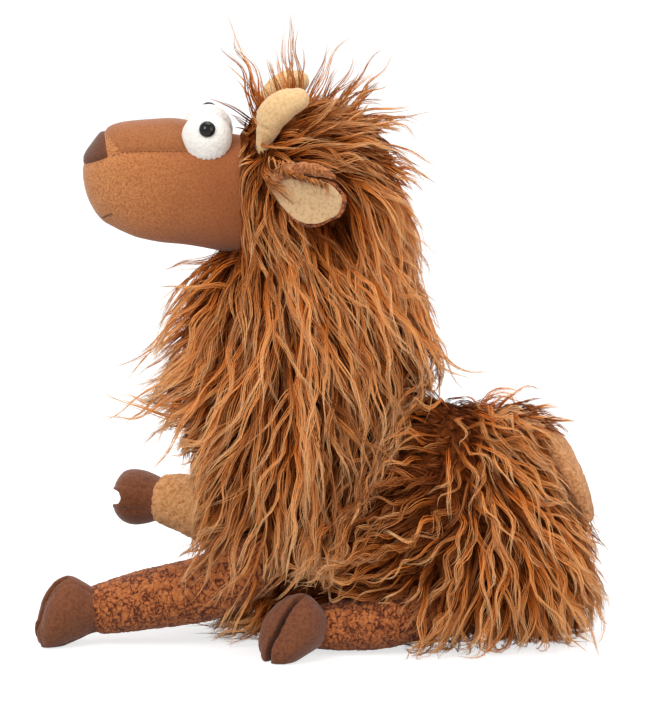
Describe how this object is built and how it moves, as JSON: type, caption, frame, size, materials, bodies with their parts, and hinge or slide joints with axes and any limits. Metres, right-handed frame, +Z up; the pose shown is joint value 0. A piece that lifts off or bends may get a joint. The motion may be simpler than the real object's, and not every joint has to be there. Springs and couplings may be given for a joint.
{
  "type": "stuffed animal",
  "caption": "Sitting long-haired plush animal with short horns, drooping ears, a suede snout, stuffed eyeballs and soft cloven hooves.",
  "frame": {"origin": "middle of the outline, on the surface that the animal sits on", "axes": "+Z up out of the head, -X the way the snout points, -Y the animal's left side"},
  "size_m": [0.3626, 0.1888, 0.414],
  "materials": {
    "long_pile": "matte",
    "short_pile": "matte",
    "tail_pile": "matte",
    "suede": "matte",
    "dark_suede": "matte",
    "hoof_suede": "matte",
    "cream_velour": "matte",
    "ear_lining": "matte",
    "white_plush": "matte",
    "black_bead": "gloss",
    "washer": "satin"
  },
  "bodies": {
    "body": {"torso": "long_pile", "neck": "long_pile", "head_hood": "long_pile", "muzzle": "suede", "bridge_panel": "suede", "nose_patch": "dark_suede", "crown_tuft": "long_pile", "horn_left": "cream_velour", "horn_right": "cream_velour", "eyeball_left": "white_plush", "eyeball_right": "white_plush", "pupil_left": "black_bead", "pupil_right": "black_bead", "eye_washer_left": "washer", "eye_washer_right": "washer"},
    "left_ear": {"ear_left": "short_pile", "ear_lining_left": "ear_lining"},
    "right_ear": {"ear_right": "short_pile", "ear_lining_right": "ear_lining"},
    "left_front_leg": {"front_leg_left": "short_pile", "front_hoof_left": "hoof_suede"},
    "right_front_leg": {"front_leg_right": "short_pile", "front_hoof_right": "hoof_suede"},
    "left_hind_leg": {"hind_leg_left": "short_pile", "hind_hoof_left": "hoof_suede"},
    "right_hind_leg": {"hind_leg_right": "short_pile", "hind_hoof_right": "hoof_suede"},
    "tail": {"tail": "tail_pile"}
  },
  "joints": [
    {"name": "left_ear_flap", "type": "hinge", "parent": "body", "child": "left_ear", "pos_m": [-0.02848, -0.05359, 0.306], "axis": [0, 0, -1], "range_deg": [-12, 35]},
    {"name": "right_ear_flap", "type": "hinge", "parent": "body", "child": "right_ear", "pos_m": [-0.02848, 0.04641, 0.306], "axis": [0, 0, 1], "range_deg": [-12, 35]},
    {"name": "left_front_leg_raise", "type": "hinge", "parent": "body", "child": "left_front_leg", "pos_m": [-0.04248, -0.0376, 0.054], "axis": [0, 1, 0], "range_deg": [0, 45]},
    {"name": "right_front_leg_raise", "type": "hinge", "parent": "body", "child": "right_front_leg", "pos_m": [-0.04248, 0.03041, 0.054], "axis": [0.4299, 0.9029, 0], "range_deg": [-30, 18]},
    {"name": "left_hind_leg_splay", "type": "hinge", "parent": "body", "child": "left_hind_leg", "pos_m": [0.06952, -0.04559, 0.03], "axis": [0, 0, 1], "range_deg": [0, 35]},
    {"name": "right_hind_leg_splay", "type": "hinge", "parent": "body", "child": "right_hind_leg", "pos_m": [0.06952, 0.03841, 0.03], "axis": [0, 0, -1], "range_deg": [0, 35]},
    {"name": "tail_lift", "type": "hinge", "parent": "body", "child": "tail", "pos_m": [0.10952, -0.0036, 0.142], "axis": [0, -1, 0], "range_deg": [0, 50]}
  ]
}
